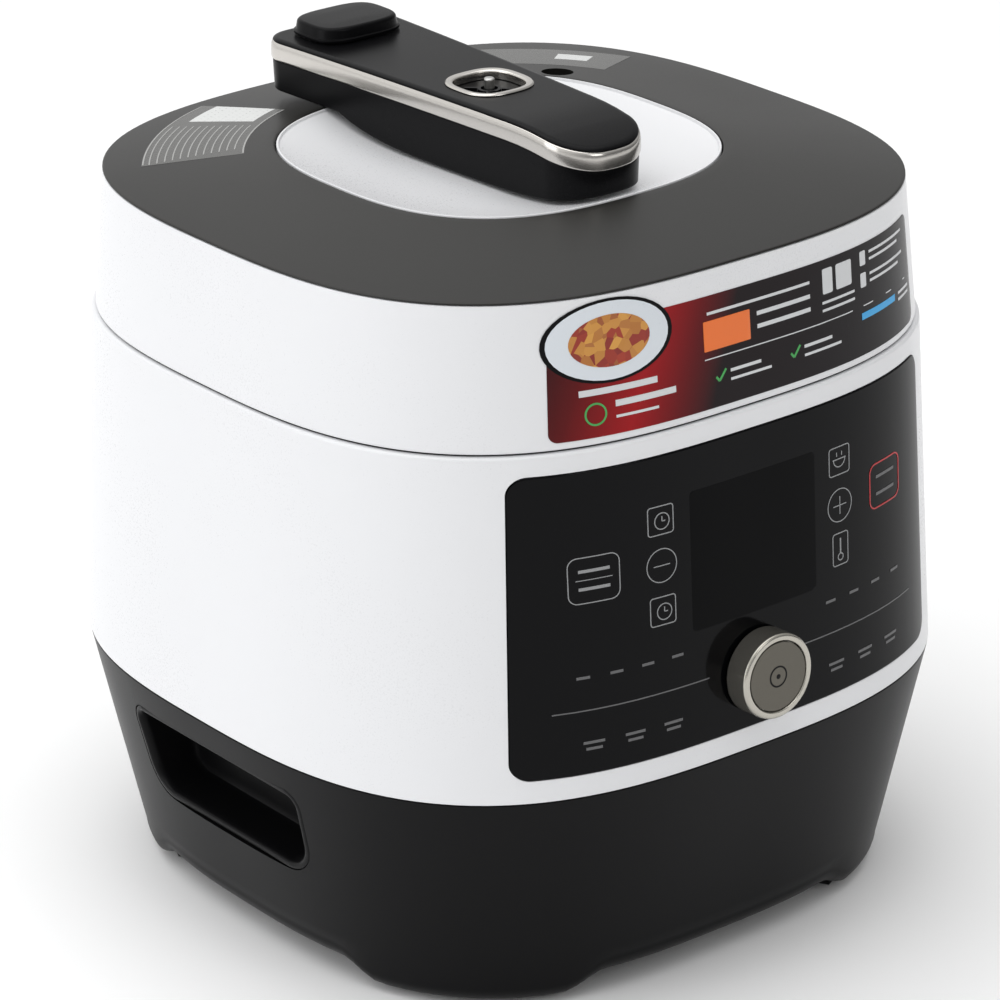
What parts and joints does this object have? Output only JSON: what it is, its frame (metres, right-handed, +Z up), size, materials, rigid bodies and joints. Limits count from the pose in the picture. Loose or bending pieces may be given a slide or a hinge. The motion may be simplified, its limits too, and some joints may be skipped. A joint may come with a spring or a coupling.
{
  "type": "electric pressure cooker",
  "caption": "Electric pressure cooker: squared white body and hinged lid on a black base, with a turning lid handle, steam valve, control panel and rotary control.",
  "frame": {"origin": "on the table under the middle of the body, at the bottom of the rubber feet", "axes": "+Z up; the control panel faces -Y; the lid hinge and the condensate cup are at +Y; +X is to the right seen from the front"},
  "size_m": [0.3032, 0.3312, 0.3282],
  "materials": {
    "white_plastic": "smooth semi-gloss moulding",
    "satin_black": "fine satin texture",
    "warm_grey": "satin",
    "gloss_black": "polished",
    "rubber": "matt",
    "silicone": "translucent matt",
    "chrome_trim": "polished",
    "knob_face": "brushed",
    "steel": "plain",
    "aluminium": "cast",
    "non_stick": "non-stick coating",
    "circuit_board": "solder mask",
    "brass": "plated",
    "clear_plastic": "smoky"
  },
  "bodies": {
    "base": {"base_housing": "satin_black", "grip_pocket_left": "satin_black", "grip_pocket_right": "satin_black", "power_inlet": "satin_black", "inlet_pin_live": "brass", "inlet_pin_neutral": "brass", "inlet_pin_earth": "brass", "foot_pad_front_right": "rubber", "foot_pad_back_right": "rubber", "foot_pad_back_left": "rubber", "foot_pad_front_left": "rubber", "bottom_plate": "satin_black", "bottom_screw_1": "steel", "bottom_screw_2": "steel", "bottom_screw_3": "steel", "bottom_screw_4": "steel", "power_board": "circuit_board", "transformer": "satin_black", "support_bracket_1": "steel", "support_bracket_2": "steel", "support_bracket_3": "steel", "body_shell": "white_plastic", "front_panel": "gloss_black", "panel_frame": "satin_black", "control_board": "circuit_board", "display_module": "gloss_black", "encoder_body": "satin_black", "top_deck": "satin_black", "inner_pot": "non_stick", "outer_pot": "aluminium", "heating_plate": "aluminium", "sensor_spring": "steel", "locking_ring": "steel", "hinge_bracket": "satin_black", "hinge_pin": "steel", "cup_holder": "satin_black"},
    "sensor": {"temperature_sensor": "aluminium"},
    "knob_plunger": {"encoder_plunger": "satin_black"},
    "knob": {"encoder_shaft": "steel", "control_knob": "chrome_trim", "knob_face": "knob_face"},
    "cup": {"condensate_cup": "clear_plastic"},
    "lid": {"lid_shell": "white_plastic", "lid_ring_cover": "warm_grey", "lid_dish": "white_plastic", "lid_liner": "satin_black", "lid_frame": "satin_black", "hinge_arm": "satin_black"},
    "handle": {"pressure_lid": "steel", "sealing_ring": "silicone", "rotor_hub": "steel", "handle_body": "satin_black", "handle_trim": "chrome_trim", "handle_cap": "satin_black", "window_bezel": "chrome_trim", "window_guide": "satin_black", "steam_pipe": "steel", "valve_seat": "steel"},
    "steam_valve": {"steam_valve_knob": "satin_black"},
    "float_valve": {"float_valve": "steel"}
  },
  "joints": [
    {"name": "lid_hinge", "type": "hinge", "parent": "base", "child": "lid", "pos_m": [0, 0.1525, 0.235], "axis": [-1, 0, 0], "range_deg": [0, 80]},
    {"name": "handle_turn", "type": "hinge", "parent": "lid", "child": "handle", "pos_m": [0, 0, 0.2912], "axis": [0, 0, -1], "range_deg": [0, 30]},
    {"name": "steam_valve_turn", "type": "hinge", "parent": "handle", "child": "steam_valve", "pos_m": [0, 0.0995, 0.3222], "axis": [0, 0, 1], "range_deg": [0, 45]},
    {"name": "float_valve_lift", "type": "slide", "parent": "handle", "child": "float_valve", "axis": [0, 0, 1], "range_m": [0, 0.004]},
    {"name": "sensor_press", "type": "slide", "parent": "base", "child": "sensor", "axis": [0, 0, -1], "range_m": [0, 0.003], "stiffness_N_per_m": 2000, "deforming": ["sensor_spring"]},
    {"name": "knob_push", "type": "slide", "parent": "base", "child": "knob_plunger", "axis": [0, 0.9989, -0.0473], "range_m": [0, 0.001], "stiffness_N_per_m": 1500},
    {"name": "knob_turn", "type": "hinge", "parent": "knob_plunger", "child": "knob", "pos_m": [0, -0.15278, 0.1292], "axis": [0, -0.9989, 0.0473], "continuous": true},
    {"name": "cup_pull", "type": "slide", "parent": "base", "child": "cup", "axis": [0, 1, 0], "range_m": [0, 0.02]}
  ]
}
